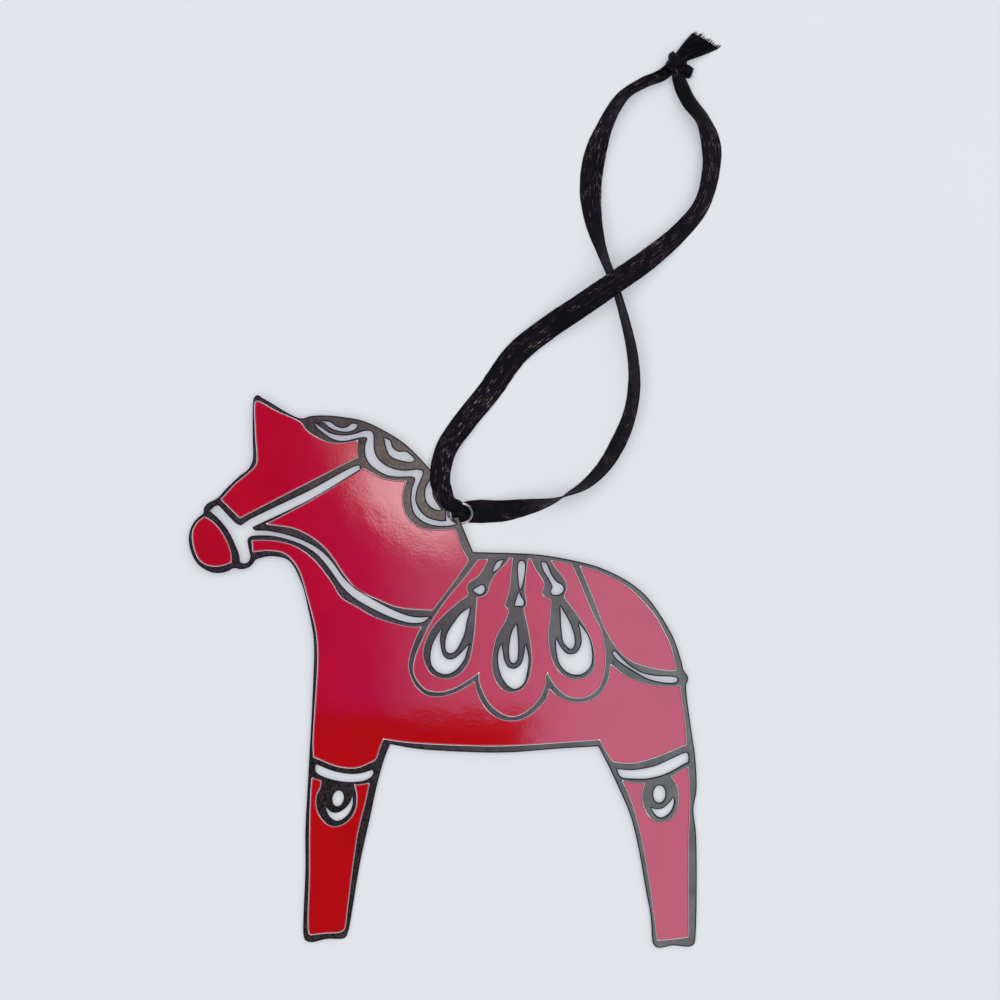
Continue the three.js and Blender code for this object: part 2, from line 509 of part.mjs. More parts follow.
// The recessed fields of the plate, which the enamel fills. Islands are the raised metal in them.
const ENAMEL_FIELDS = {
  enamel_head: { field: outline(ENAMEL_HEAD), islands: [] },
  enamel_muzzle: { field: outline(ENAMEL_MUZZLE), islands: [] },
  enamel_neck: { field: outline(ENAMEL_NECK), islands: [] },
  enamel_body: { field: outline(BODY_FIELD), islands: [outline(SADDLE_OUTSIDE)] },
  enamel_rump: { field: outline(ENAMEL_RUMP), islands: [] },
  enamel_saddle: {
    field: outline(SADDLE_FIELD),
    islands: [outline(FLAME_1), outline(FLAME_2), outline(FLAME_3)],
  },
  enamel_front_leg: { field: outline(FRONT_LEG_FIELD), islands: [outline(FRONT_MEDALLION)] },
  enamel_rear_leg: { field: outline(REAR_LEG_FIELD), islands: [outline(REAR_MEDALLION)] },
};

// The holes right through the plate
const OPENINGS = [
  ...[
    REINS, MANE_LEAF, MANE_WAVE, MANE_CRESCENT_2, MANE_CRESCENT_3,
    FLAME_1_LEAF, FLAME_1_BALL, FLAME_1_CORE, FLAME_1_CRESCENT,
    FLAME_2_LEAF, FLAME_2_BASE, FLAME_2_CORE, FLAME_2_CRESCENT,
    FLAME_3_LEAF, FLAME_3_CORE, FLAME_3_CRESCENT,
    TAIL_STRAP, FRONT_GARTER, FRONT_CRESCENT, REAR_GARTER, REAR_CRESCENT,
  ].map(outline),
  oval(...FRONT_EYELET),
  oval(...REAR_EYELET),
  slot(...RING_SLOT),
];

function platedHorse() {
  const pocketFloor = PLATE_THICKNESS - POCKET_DEPTH;
  let plate = slab(outline(SILHOUETTE), 0, PLATE_THICKNESS);
  for (const hole of OPENINGS) {
    plate = plate.subtract(slab(hole, -1, PLATE_THICKNESS + 1));
  }
  for (const field of Object.values(ENAMEL_FIELDS)) {
    plate = plate.subtract(fieldSolid(field, pocketFloor, PLATE_THICKNESS + 1, 0));
  }
  return geometryFrom(plate);
}

function enamelFilling(field) {
  const low = PLATE_THICKNESS - POCKET_DEPTH + ENAMEL_GAP / 2;
  return geometryFrom(fieldSolid(field, low, low + ENAMEL_THICKNESS, ENAMEL_GAP));
}

function ribbonStrand(route) {
  const rim = new THREE.EllipseCurve(0, 0, RIBBON_CORE_RADIUS, RIBBON_CORE_RADIUS);
  const section = new THREE.Shape(rim.getPoints(RIBBON_SIDES).slice(0, -1));
  const points = route.map(([x, y, z]) => new THREE.Vector3(x, y, z));
  return new THREE.ExtrudeGeometry(section, {
    extrudePath: new THREE.CatmullRomCurve3(points, false, 'centripetal'),
    steps: RIBBON_STEPS,
  });
}

function knotLump() {
  const around = 14;
  const down = 9;
  return new THREE.SphereGeometry(1, around, down).scale(...KNOT_HALF_SIZE);
}

function ribbonEnd(points) {
  return geometryFrom(slab(outline(points), 0, TAIL_THICKNESS));
}

// Assembly

function part(name, geometry, finish) {
  const mesh = new THREE.Mesh(geometry, new THREE.MeshStandardMaterial(finish));
  mesh.name = name;
  return mesh;
}

// The ring lies in a slope, low on its -Y side, where its wire runs under the plate's edge bar.
// The bar rests on that wire, so the whole plate leans from its hooves up to the ring.
const ringHeight = RING_RADIUS * Math.sin(RING_SLOPE) + RING_WIRE_RADIUS;
const barHeight = ringHeight - BAR_DROP - PLATE_THICKNESS / 2;
const plateLean = Math.asin(barHeight / (RING_Y - HOOF_LINE_Y));

const horse = new THREE.Group();
horse.rotation.x = plateLean;
horse.position.y = HOOF_LINE_Y * (1 - Math.cos(plateLean));
horse.position.z = -HOOF_LINE_Y * Math.sin(plateLean);
horse.add(part('plate', platedHorse(), PLATED_METAL));
for (const [name, field] of Object.entries(ENAMEL_FIELDS)) {
  horse.add(part(name, enamelFilling(field), RED_ENAMEL));
}

const wireSides = 8;
const wireSteps = 32;
const ring = part(
  'jump_ring',
  new THREE.TorusGeometry(RING_RADIUS, RING_WIRE_RADIUS, wireSides, wireSteps),
  BRIGHT_WIRE);
ring.position.set(RING_X, RING_Y, ringHeight);
ring.rotation.x = RING_SLOPE;

const ribbon = new THREE.Group();
ribbon.add(part('ribbon_left_strand', ribbonStrand(ROUTE_LEFT), BLACK_SATIN));
ribbon.add(part('ribbon_right_strand', ribbonStrand(ROUTE_RIGHT), BLACK_SATIN));
ribbon.add(part('ribbon_tail', ribbonEnd(KNOT_TAIL), BLACK_SATIN));
ribbon.add(part('ribbon_stub', ribbonEnd(KNOT_STUB), BLACK_SATIN));
const knot = part('ribbon_knot', knotLump(), BLACK_SATIN);
knot.position.set(...KNOT_CENTRE, KNOT_HALF_SIZE[2]);
ribbon.add(knot);

const ornament = new THREE.Group();
ornament.add(horse, ring, ribbon);

export default ornament;
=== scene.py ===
import math
import random

import bpy
import numpy as np
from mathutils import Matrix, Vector, noise
from mathutils.geometry import delaunay_2d_cdt
from mathutils.kdtree import KDTree


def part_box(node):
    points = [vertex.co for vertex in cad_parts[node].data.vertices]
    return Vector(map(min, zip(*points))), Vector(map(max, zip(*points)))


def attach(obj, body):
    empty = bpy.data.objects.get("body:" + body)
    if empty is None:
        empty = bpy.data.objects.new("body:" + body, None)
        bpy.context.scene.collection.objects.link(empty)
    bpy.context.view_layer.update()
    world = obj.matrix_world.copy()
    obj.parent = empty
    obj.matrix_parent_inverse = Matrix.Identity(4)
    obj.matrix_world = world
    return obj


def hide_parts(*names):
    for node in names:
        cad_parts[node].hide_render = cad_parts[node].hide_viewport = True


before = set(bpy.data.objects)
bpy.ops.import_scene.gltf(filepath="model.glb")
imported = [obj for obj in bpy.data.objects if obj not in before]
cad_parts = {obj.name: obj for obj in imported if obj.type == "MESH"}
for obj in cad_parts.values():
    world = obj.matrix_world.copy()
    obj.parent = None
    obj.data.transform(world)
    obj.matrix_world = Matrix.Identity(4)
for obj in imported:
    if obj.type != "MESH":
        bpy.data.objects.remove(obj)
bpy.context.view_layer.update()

MM = 0.001

# ---------------------------------------------------------------- dimensions, in millimetres

# the plate: how far its edges round over, sideways and down
EDGE_ROUND = (0.10, 0.08)
EDGE_ROWS = (0.035, 0.10, 0.15, 0.20)
FIELD_ROUND = (0.08, 0.04)
FIELD_ROWS = (0.04, 0.08, 0.12)
# painted highlight: the lip round each field is coloured pale, from the field to here
PAINTED_HIGHLIGHT_REACH = (0.04, 0.08)
# painted shade: the outermost strip of the plate, from its edge to here, is coloured black
EDGE_PAINTED_SHADE = (0.14, 0.20)
SHARP = math.radians(40)
OUTLINE_STEP = 0.17
CLOSEST_POINTS = 0.03
CORNER_TURN = math.radians(48)
# the enamel climbs the walls of its field: distance from the wall, depth below the plate's top
MENISCUS = [(0.0, 0.070), (0.04, 0.092), (0.08, 0.100), (0.12, 0.100), (0.17, 0.100), (0.24, 0.100)]
ENAMEL_GRID = 0.55
# slow waves in the enamel: their height, how many to a millimetre, and how far from the wall they
# reach it in full
ENAMEL_WAVE = 0.0012
WAVES_PER_MM = 0.55
WAVE_FADE = 0.6

WIRE_RADIUS = 0.18

RIBBON_WIDTH = 3.25
RIBBON_THICKNESS = 0.16
RIBBON_RIBS = 7
THREADS_PER_CLUMP = 5
CORE_RADIUS = 0.4
REST_HEIGHT = 0.03
ROUTE_STEP = 0.3
SELVAGE_START = 0.93

# The ribbon's route: x, y, z of the CAD strands in metres, then the roll of its width out of the
# horizontal and the cupping of its section, both in degrees.
ROUTE_LEFT = [
    (0.00250, 0.02155, 0.00075, 30, 95), (0.00315, 0.02160, 0.00055, 22, 75),
    (0.00410, 0.02170, 0.00045, 12, 30), (0.00570, 0.02175, 0.00045, 14, 10),
    (0.00815, 0.02180, 0.00045, 26, 10), (0.01090, 0.02225, 0.00050, 44, 10),
    (0.01375, 0.02285, 0.00090, 66, 10), (0.01660, 0.02385, 0.00150, 92, 10),
    (0.01920, 0.02520, 0.00090, 111, 14), (0.02190, 0.02780, 0.00050, 123, 18),
    (0.02410, 0.03150, 0.00045, 128, 20), (0.02545, 0.03500, 0.00045, 121, 22),
    (0.02605, 0.03895, 0.00050, 117, 22), (0.02580, 0.04305, 0.00080, 112, 20),
    (0.02475, 0.04780, 0.00140, 107, 14), (0.02330, 0.05260, 0.00150, 104, 10),
    (0.02165, 0.05705, 0.00140, 111, 14), (0.02050, 0.06145, 0.00080, 135, 24),
    (0.02015, 0.06580, 0.00050, 156, 26), (0.02070, 0.07000, 0.00050, 158, 24),
    (0.02205, 0.07395, 0.00060, 133, 24), (0.02425, 0.07765, 0.00090, 124, 50),
    (0.02735, 0.07985, 0.00110, 120, 180), (0.02990, 0.08090, 0.00130, 145, 250),
]
ROUTE_RIGHT = [
    (0.03225, 0.08020, 0.00120, 330, 215), (0.03350, 0.07765, 0.00080, 322, 130),
    (0.03540, 0.07490, 0.00050, 314, 50), (0.03650, 0.07150, 0.00045, 330, 24),
    (0.03640, 0.06755, 0.00045, 320, 24), (0.03510, 0.06320, 0.00055, 314, 20),
    (0.03225, 0.05965, 0.00110, 318, 20), (0.02790, 0.05585, 0.00270, 332, 20),
    (0.02330, 0.05260, 0.00360, 338, 20), (0.01865, 0.04945, 0.00290, 342, 20),
    (0.01430, 0.04660, 0.00160, 348, 16), (0.01005, 0.04320, 0.00070, 356, 14),
    (0.00625, 0.03800, 0.00045, 364, 20), (0.00285, 0.03380, 0.00050, 374, 30),
    (0.00040, 0.03010, 0.00110, 382, 46), (-0.00040, 0.02620, 0.00200, 386, 66),
    (0.00000, 0.02430, 0.00235, 388, 105), (0.00045, 0.02320, 0.00255, 390, 140),
    (0.00100, 0.02260, 0.00275, 390, 175), (0.00160, 0.02235, 0.00265, 390, 195),
    (0.00195, 0.02220, 0.00245, 390, 200),
]
# the bend inside the ring, from the end of the right strand to the start of the left one
RING_BEND = [(0.00218, 0.02200, 0.00205, 390, 205), (0.00232, 0.02180, 0.00150, 390, 170),
             (0.00240, 0.02163, 0.00108, 390, 130)]

# ---------------------------------------------------------------- small tools


def add(tree, kind, inputs=None, **settings):
    """A new shader node. An input given as another node's output is linked, any other is set."""
    made = tree.nodes.new(kind)
    for key, value in settings.items():
        setattr(made, key, value)
    for key, value in (inputs or {}).items():
        if isinstance(value, bpy.types.NodeSocket):
            tree.links.new(value, made.inputs[key])
        else:
            made.inputs[key].default_value = value
    return made


def new_material(name):
    material = bpy.data.materials.new(name)
    material.use_nodes = True
    tree = material.node_tree
    return material, tree, tree.nodes["Principled BSDF"]


def ramp(tree, factor, stops):
    made = add(tree, "ShaderNodeValToRGB", {"Fac": factor})
    elements = made.color_ramp.elements
    while len(elements) < len(stops):
        elements.new(0.5)
    for element, (position, colour) in zip(elements, stops):
        element.position = position
        element.color = (*colour, 1.0)
    return made.outputs["Color"]


def mixed(tree, factor, a, b):
    return add(tree, "ShaderNodeMix", {"Factor": factor, "A": a, "B": b},
               data_type="RGBA").outputs["Result"]


def new_piece(name, vertices, faces, body, materials, replaced=()):
    """A mesh piece from points in metres, riding on a body."""
    mesh = bpy.data.meshes.new(name)
    mesh.from_pydata([tuple(v) for v in vertices], [], [tuple(f) for f in faces])
    mesh.validate()
    mesh.polygons.foreach_set("use_smooth", [True] * len(mesh.polygons))
    piece = bpy.data.objects.new(name, mesh)
    bpy.context.scene.collection.objects.link(piece)
    for material in materials:
        mesh.materials.append(material)
    if replaced:
        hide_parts(*replaced)
    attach(piece, body)
    return piece


def point_values(piece, name, values):
    attribute = piece.data.attributes.new(name, "FLOAT", "POINT")
    attribute.data.foreach_set("value", np.asarray(values, np.float32))


def spline(points, step, closed):
    """Points every step along a centripetal Catmull-Rom curve through rows of x, y, z, ..."""
    rows = np.asarray(points, float)
    count = len(rows)
    made = []
    for i in range(count if closed else count - 1):
        if closed:
            p0, p1, p2, p3 = (rows[(i + k) % count] for k in (-1, 0, 1, 2))
        else:
            p1, p2 = rows[i], rows[i + 1]
            p0 = rows[i - 1] if i > 0 else 2 * p1 - p2
            p3 = rows[i + 2] if i + 2 < count else 2 * p2 - p1
        t1, t2, t3 = np.cumsum([
            max(np.linalg.norm(b[:3] - a[:3]), 1e-9) ** 0.5
            for a, b in ((p0, p1), (p1, p2), (p2, p3))
        ])
        pieces = max(1, round(np.linalg.norm(p2[:3] - p1[:3]) / step))
        for t in t1 + (t2 - t1) * np.arange(pieces) / pieces:
            a1 = (t1 - t) / t1 * p0 + t / t1 * p1
            a2 = (t2 - t) / (t2 - t1) * p1 + (t - t1) / (t2 - t1) * p2
            a3 = (t3 - t) / (t3 - t2) * p2 + (t - t2) / (t3 - t2) * p3
            b1 = (t2 - t) / t2 * a1 + t / t2 * a2
            b2 = (t3 - t) / (t3 - t1) * a2 + (t - t1) / (t3 - t1) * a3
            made.append((t2 - t) / (t2 - t1) * b1 + (t - t1) / (t2 - t1) * b2)
    if not closed:
        made.append(rows[-1])
    return np.array(made)


# ---------------------------------------------------------------- materials


def metal_material():
    """Dark plated metal: satin on top, with painted shade turning its edges, walls and underside
    black, and a painted pale highlight on the lip where enamel meets it.
    """
    material, tree, shader = new_material("plated_metal")
    place = add(tree, "ShaderNodeTexCoord").outputs["Object"]
    edge = add(tree, "ShaderNodeAttribute", attribute_name="edge").outputs["Fac"]
    lip_painted_highlight = add(tree, "ShaderNodeAttribute", attribute_name="lip_painted_highlight").outputs["Fac"]
    mottle = add(tree, "ShaderNodeTexNoise", {"Vector": place, "Scale": 420.0, "Detail": 5.0})
    grain = add(tree, "ShaderNodeTexNoise", {"Vector": place, "Scale": 2600.0, "Detail": 3.0})
    top = ramp(tree, mottle.outputs["Fac"], [
        (0.30, (0.062, 0.055, 0.036)), (0.50, (0.076, 0.068, 0.045)), (0.72, (0.096, 0.085, 0.056)),
    ])
    # painted highlight: a pale pink painted on the lip next to the enamel
    top_with_painted_highlight = mixed(tree, lip_painted_highlight, top, (0.86, 0.80, 0.80, 1))
    # painted shade: the edge value darkens the metal to near black on the plate's rounded edges, its
    # walls and its underside
    colour = mixed(tree, edge, top_with_painted_highlight, (0.006, 0.006, 0.008, 1))
    tree.links.new(colour, shader.inputs["Base Color"])
    rough = add(tree, "ShaderNodeMapRange", {"Value": grain.outputs["Fac"], "From Min": 0.3,
                                             "From Max": 0.7, "To Min": 0.10, "To Max": 0.17})
    tree.links.new(rough.outputs["Result"], shader.inputs["Roughness"])
    bump = add(tree, "ShaderNodeBump", {"Height": grain.outputs["Fac"], "Strength": 0.05,
                                        "Distance": 0.00003})
    tree.links.new(bump.outputs["Normal"], shader.inputs["Normal"])
    shader.inputs["Metallic"].default_value = 1.0
    return material


def enamel_material():
    """Glossy translucent-red enamel with a fine orange peel."""
    material, tree, shader = new_material("red_enamel")
    place = add(tree, "ShaderNodeTexCoord").outputs["Object"]
    cloud = add(tree, "ShaderNodeTexNoise", {"Vector": place, "Scale": 160.0, "Detail": 3.0})
    peel = add(tree, "ShaderNodeTexNoise", {"Vector": place, "Scale": 3000.0, "Detail": 2.0,
                                            "Roughness": 0.5})
    colour = ramp(tree, cloud.outputs["Fac"], [
        (0.30, (0.395, 0.0032, 0.0036)), (0.70, (0.435, 0.0040, 0.0046)),
    ])
    tree.links.new(colour, shader.inputs["Base Color"])
    bump = add(tree, "ShaderNodeBump", {"Height": peel.outputs["Fac"], "Strength": 0.02,
                                        "Distance": 0.00005})
    tree.links.new(bump.outputs["Normal"], shader.inputs["Normal"])
    shader.inputs["Roughness"].default_value = 0.035
    shader.inputs["IOR"].default_value = 1.56
    return material


def wire_material():
    material, tree, shader = new_material("ring_wire")
    place = add(tree, "ShaderNodeTexCoord").outputs["Object"]
    drawn = add(tree, "ShaderNodeTexNoise", {"Vector": place, "Scale": 2600.0, "Detail": 4.0})
    colour = ramp(tree, drawn.outputs["Fac"], [
        (0.35, (0.50, 0.42, 0.39)), (0.65, (0.74, 0.67, 0.64)),
    ])
    tree.links.new(colour, shader.inputs["Base Color"])
    rough = add(tree, "ShaderNodeMapRange", {"Value": drawn.outputs["Fac"], "To Min": 0.2,
                                             "To Max": 0.4})
    tree.links.new(rough.outputs["Result"], shader.inputs["Roughness"])
    bump = add(tree, "ShaderNodeBump", {"Height": drawn.outputs["Fac"], "Strength": 0.15,
                                        "Distance": 0.00003})
    tree.links.new(bump.outputs["Normal"], shader.inputs["Normal"])
    shader.inputs["Metallic"].default_value = 1.0
    return material


def satin_material():
    """Black satin: rows of thread floats along the ribbon, with painted bronze glints on some of
    them.
    """
    material, tree, shader = new_material("black_satin")
    across_along = add(tree, "ShaderNodeUVMap", uv_map="UVMap").outputs["UV"]
    floats = add(tree, "ShaderNodeTexBrick", {
        "Vector": across_along, "Color1": (0, 0, 0, 1), "Color2": (1, 1, 1, 1),
        "Mortar": (0, 0, 0, 1), "Scale": 1.0, "Mortar Size": 0.10, "Mortar Smooth": 0.6,
        "Bias": 0.0, "Brick Width": 0.85, "Row Height": 0.33,
    }, offset=0.5, offset_frequency=2)
    patches = add(tree, "ShaderNodeTexNoise", {"Vector": across_along, "Scale": 0.12,
                                               "Detail": 4.0})
    threads = add(tree, "ShaderNodeTexWave", {"Vector": across_along, "Scale": 2.6,
                                              "Distortion": 0.6, "Detail": 2.0},
                  bands_direction="Y", wave_profile="SIN")
    lit = add(tree, "ShaderNodeMapRange", {"Value": floats.outputs["Color"], "From Min": 0.52,
                                           "From Max": 0.92})
    where = add(tree, "ShaderNodeMapRange", {"Value": patches.outputs["Fac"], "From Min": 0.38,
                                             "From Max": 0.58})
    painted_glint = add(tree, "ShaderNodeMath", {0: lit.outputs["Result"], 1: where.outputs["Result"]},
                operation="MULTIPLY")
    # the colours of the painted glints, varied by noise
    tint = add(tree, "ShaderNodeTexNoise", {"Vector": across_along, "Scale": 1.1, "Detail": 1.0})
    bright = ramp(tree, tint.outputs["Fac"], [
        (0.38, (0.040, 0.018, 0.050)), (0.52, (0.085, 0.045, 0.040)), (0.68, (0.20, 0.16, 0.12)),
    ])
    base = ramp(tree, patches.outputs["Fac"], [
        (0.35, (0.0014, 0.0012, 0.0014)), (0.62, (0.0048, 0.0030, 0.0055)),
    ])
    # painted highlight: glints painted into the base colour where lit floats and patches coincide
    tree.links.new(mixed(tree, painted_glint.outputs[0], base, bright), shader.inputs["Base Color"])
    height = add(tree, "ShaderNodeMath", {0: floats.outputs["Fac"], 1: -0.6,
                                          2: threads.outputs["Fac"]},
                 operation="MULTIPLY_ADD")
    bump = add(tree, "ShaderNodeBump", {"Height": height.outputs[0], "Strength": 0.5,
                                        "Distance": 0.00005})
    tree.links.new(bump.outputs["Normal"], shader.inputs["Normal"])
    shader.inputs["Roughness"].default_value = 0.55
    shader.inputs["Specular IOR Level"].default_value = 0.08
    shader.inputs["Sheen Weight"].default_value = 0.02
    shader.inputs["Sheen Roughness"].default_value = 0.4
    shader.inputs["Sheen Tint"].default_value = (0.75, 0.62, 0.9, 1)
    return material


def floor_material():
    """A pale table top. Part of its brightness is its own, like a sheet of lit acrylic."""
    material, tree, shader = new_material("floor")
    place = add(tree, "ShaderNodeTexCoord").outputs["Object"]
    cloud = add(tree, "ShaderNodeTexNoise", {"Vector": place, "Scale": 12.0, "Detail": 3.0})
    colour = ramp(tree, cloud.outputs["Fac"], [
        (0.35, (0.450, 0.464, 0.376)), (0.65, (0.460, 0.474, 0.384)),
    ])
    tree.links.new(colour, shader.inputs["Base Color"])
    shader.inputs["Roughness"].default_value = 0.9
    shader.inputs["Specular IOR Level"].default_value = 0.05
    shader.inputs["Emission Color"].default_value = (0.272, 0.272, 0.355, 1)
    shader.inputs["Emission Strength"].default_value = 1.0
    return material


METAL = metal_material()
ENAMEL = enamel_material()
WIRE = wire_material()
SATIN = satin_material()

# ---------------------------------------------------------------- camera

CAMERA_CENTRE = (0.0078, 0.0233)
FRAME_WIDTH = 0.1361
LENS = 100.0
SENSOR = 36.0


def make_camera():
    data = bpy.data.cameras.new("camera")
    data.lens = LENS
    data.sensor_width = SENSOR
    camera = bpy.data.objects.new("camera", data)
    camera.location = (*CAMERA_CENTRE, FRAME_WIDTH * LENS / SENSOR)
    bpy.context.scene.collection.objects.link(camera)
    bpy.context.scene.camera = camera


make_camera()

# ---------------------------------------------------------------- the ribbon


def section(width, cup, thickness):
    """A ribbon's section: rows of across, up. Its width curls into an arc of cup radians, edges
    down, with ribs along the cloth and a thicker selvage."""
    steps = 6 * RIBBON_RIBS
    s = np.linspace(-1, 1, steps + 1)
    turn = s * cup / 2
    if abs(cup) < 0.02:
        middle = np.column_stack([s * width / 2, 0 * s])
    else:
        radius = width / cup
        middle = np.column_stack([radius * np.sin(turn), radius * (np.cos(turn) - 1)])
        middle[:, 1] += radius * (1 - math.cos(cup / 2)) / 2
    normal = np.column_stack([np.sin(turn), np.cos(turn)])
    rib = 0.012 * np.cos(s * math.pi * RIBBON_RIBS) * (np.abs(s) < SELVAGE_START)
    selvage = 0.035 * (np.abs(s) > SELVAGE_START)
    close = np.sqrt(np.clip(1 - np.abs(s) ** 24, 0, 1))
    half = (thickness / 2 + rib + selvage) * close
    upper = middle + normal * half[:, None]
    lower = middle - normal * half[:, None]
    return np.vstack([upper, lower[1:-1][::-1]]), s


def ribbon_frames(rows, closed):
    """Tangent, width and normal directions along rows of x, y, z, roll in degrees."""
    tangent = np.gradient(rows[:, :3], axis=0)
    if closed:
        tangent[0] = rows[1, :3] - rows[-1, :3]
        tangent[-1] = rows[0, :3] - rows[-2, :3]
    tangent /= np.linalg.norm(tangent, axis=1)[:, None]
    level = np.cross((0, 0, 1), tangent)
    level /= np.linalg.norm(level, axis=1)[:, None]
    up = np.cross(tangent, level)
    roll = np.radians(rows[:, 3])[:, None]
    return tangent, np.cos(roll) * level + np.sin(roll) * up, np.cos(roll) * up - np.sin(roll) * level


def strip(rows, directions, widths, closed, resting):
    """Vertices, faces and UVs (in millimetres) of a ribbon along rows of x, y, z, roll, cup."""
    across, up = directions
    vertices, uvs, centres = [], [], []
    along = 0.0
    for i, row in enumerate(rows):
        shape, s = section(widths[i], math.radians(row[4]), RIBBON_THICKNESS)
        points = shape[:, :1] * across[i] + shape[:, 1:] * up[i]
        centre = row[:3].copy()
        if resting:
            half = (points[:, 2].max() - points[:, 2].min()) / 2
            underside = max(REST_HEIGHT, centre[2] - max(CORE_RADIUS, half))
            centre[2] = underside - points[:, 2].min()
        if i:
            along += np.linalg.norm(rows[i, :3] - rows[i - 1, :3])
        ring = np.concatenate([s, s[1:-1][::-1]]) * widths[i] / 2
        vertices.append(points + centre)
        uvs.append(np.column_stack([np.full(len(ring), along), ring + widths[i] / 2]))
        centres.append(centre)
    size = len(vertices[0])
    faces = []
    for i in range(len(rows) - (0 if closed else 1)):
        a, b = i * size, (i + 1) % len(rows) * size
        for k in range(size):
            n = (k + 1) % size
            faces.append((a + k, a + n, b + n, b + k))
    if not closed:
        half = size // 2
        last = (len(rows) - 1) * size
        for start, order in ((0, 1), (last, -1)):
            for k in range(half):
                quad = [start + k, start + (size - k) % size, start + (size - k - 1) % size,
                        start + k + 1]
                faces.append(tuple(dict.fromkeys(quad[::order])))
    return np.vstack(vertices), faces, np.vstack(uvs), np.array(centres)


def set_uvs(piece, uvs):
    layer = piece.data.uv_layers.new(name="UVMap")
    index = np.zeros(len(piece.data.loops), np.int32)
    piece.data.loops.foreach_get("vertex_index", index)
    layer.data.foreach_set("uv", uvs[index].astype(np.float32).ravel())


def make_ribbon():
    """One closed loop: out along the left strand, through the knot and back through the ring."""
    knot_low, knot_high = (np.array(corner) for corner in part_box("ribbon_knot"))
    in_knot = (*(knot_low + knot_high) / 2, 250, 240)
    first_x, first_y, first_z, first_roll, first_cup = ROUTE_LEFT[0]
    full_circle = (first_x, first_y, first_z, first_roll + 360, first_cup)
    rows = np.array(ROUTE_LEFT + [in_knot] + ROUTE_RIGHT + RING_BEND + [full_circle])
    rows[:, :3] /= MM
    fine = spline(rows, ROUTE_STEP, closed=False)[:-1]
    start = np.array(ROUTE_RIGHT[-1][:3]) / MM
    first = int(np.argmin(np.linalg.norm(fine[:, :3] - start, axis=1)))
    tangent, across, _ = ribbon_frames(fine, closed=True)
    bend = range(first, len(fine))
    for i in bend:
        share = (i - first + 1) / (len(bend) + 1)
        blended = across[first - 1] * (1 - share) + across[0] * share
        blended -= tangent[i] * (blended @ tangent[i])
        across[i] = blended / np.linalg.norm(blended)
    up = np.cross(tangent, across)
    rng = np.random.default_rng(3)
    widths = RIBBON_WIDTH + 0.05 * np.convolve(rng.normal(0, 1, len(fine)), np.ones(3) / 3, "same")
    vertices, faces, uvs, centres = strip(fine, (across, up), widths, True, resting=True)
    ribbon = new_piece("ribbon_loop", vertices * MM, faces, "ribbon", [SATIN],
                       ("ribbon_left_strand", "ribbon_right_strand"))
    set_uvs(ribbon, uvs)
    length = np.linalg.norm(np.diff(centres, axis=0), axis=1).sum() * MM
    return ribbon, [tuple(p) for p in centres[::3] * MM], length


def band(centre, axis, radii, width, cup):
    """A closed turn of ribbon round an axis, hugging the knot."""
    axis = Vector(axis).normalized()
    side = axis.orthogonal().normalized()
    other = axis.cross(side)
    steps = 72
    vertices, uvs = [], []
    for i in range(steps):
        a = 2 * math.pi * i / steps
        out = (side * math.cos(a) * radii[0] + other * math.sin(a) * radii[1])
        out *= 1 + 0.05 * math.sin(3 * a) + 0.03 * math.sin(5 * a + 1)
        normal = out.normalized()
        shape, s = section(width * (1 + 0.10 * math.sin(2 * a + 0.6)), cup, RIBBON_THICKNESS)
        ring = np.concatenate([s, s[1:-1][::-1]]) * width / 2
        wave = axis * (0.12 * math.sin(2 * a))
        for (x, y), u in zip(shape, ring):
            crease = 0.05 * math.cos(u * 5.5 + 0.8 * math.sin(a))
            vertices.append(Vector(centre) + out + wave + axis * x + normal * (y + crease))
        uvs.append(np.column_stack([np.full(len(ring), a * radii[0]), ring + width / 2]))
    size = len(vertices) // steps
    faces = []
    for i in range(steps):
        a, b = i * size, (i + 1) % steps * size
        for k in range(size):
            n = (k + 1) % size
            faces.append((a + k, b + k, b + n, a + n))
    return [np.array(v) for v in vertices], faces, np.vstack(uvs)


def joined(parts):
    vertices, faces, uvs = [], [], []
    for part_vertices, part_faces, part_uvs in parts:
        start = len(vertices)
        vertices.extend(part_vertices)
        faces.extend(tuple(start + k for k in face) for face in part_faces)
        uvs.append(np.asarray(part_uvs, float))
    return np.array(vertices), faces, np.vstack(uvs)


def ball(centre, half_size, across, down):
    """A closed lumpy ball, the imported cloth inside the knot."""
    vertices = [(0, 0, 1)]
    for j in range(1, down):
        b = math.pi * j / down
        for i in range(across):
            a = 2 * math.pi * i / across
            vertices.append((math.sin(b) * math.cos(a), math.sin(b) * math.sin(a), math.cos(b)))
    vertices.append((0, 0, -1))
    bottom = len(vertices) - 1
    faces = []
    for i in range(across):
        n = (i + 1) % across
        faces.append((0, 1 + i, 1 + n))
        for j in range(down - 2):
            a, b = 1 + j * across, 1 + (j + 1) * across
            faces.append((a + i, b + i, b + n, a + n))
        last = 1 + (down - 2) * across
        faces.append((last + i, bottom, last + n))
    made = []
    for v in vertices:
        swell = 1 + 0.06 * noise.noise(Vector(v) * 2.2)
        made.append(np.array(centre) + np.array(v) * np.array(half_size) * swell)
    uvs = [(3 * v[0], 3 * v[2]) for v in vertices]
    return made, faces, uvs


def make_knot():
    low, high = (np.array(corner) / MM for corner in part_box("ribbon_knot"))
    centre = (low + high) / 2
    half = (high - low) / 2
    along = Vector((0.42, 0.88, 0.10)).normalized()
    parts = [
        ball(centre, half * 0.74, 28, 18),
        band(centre + np.array(along) * 0.62, along, (1.12, 1.08), 1.55, 1.5),
        band(centre - np.array(along) * 0.66, Vector((0.62, 0.76, -0.16)), (1.06, 1.02), 1.35, 1.5),
        band(centre + np.array((0.10, 0.0, 0.10)), Vector((0.95, -0.28, 0.20)), (1.34, 1.06), 1.25,
             1.3),
    ]
    vertices, faces, uvs = joined(parts)
    knot = new_piece("ribbon_knot_turns", vertices * MM, faces, "ribbon", [SATIN],
                     ("ribbon_knot",))
    set_uvs(knot, uvs)
    return knot


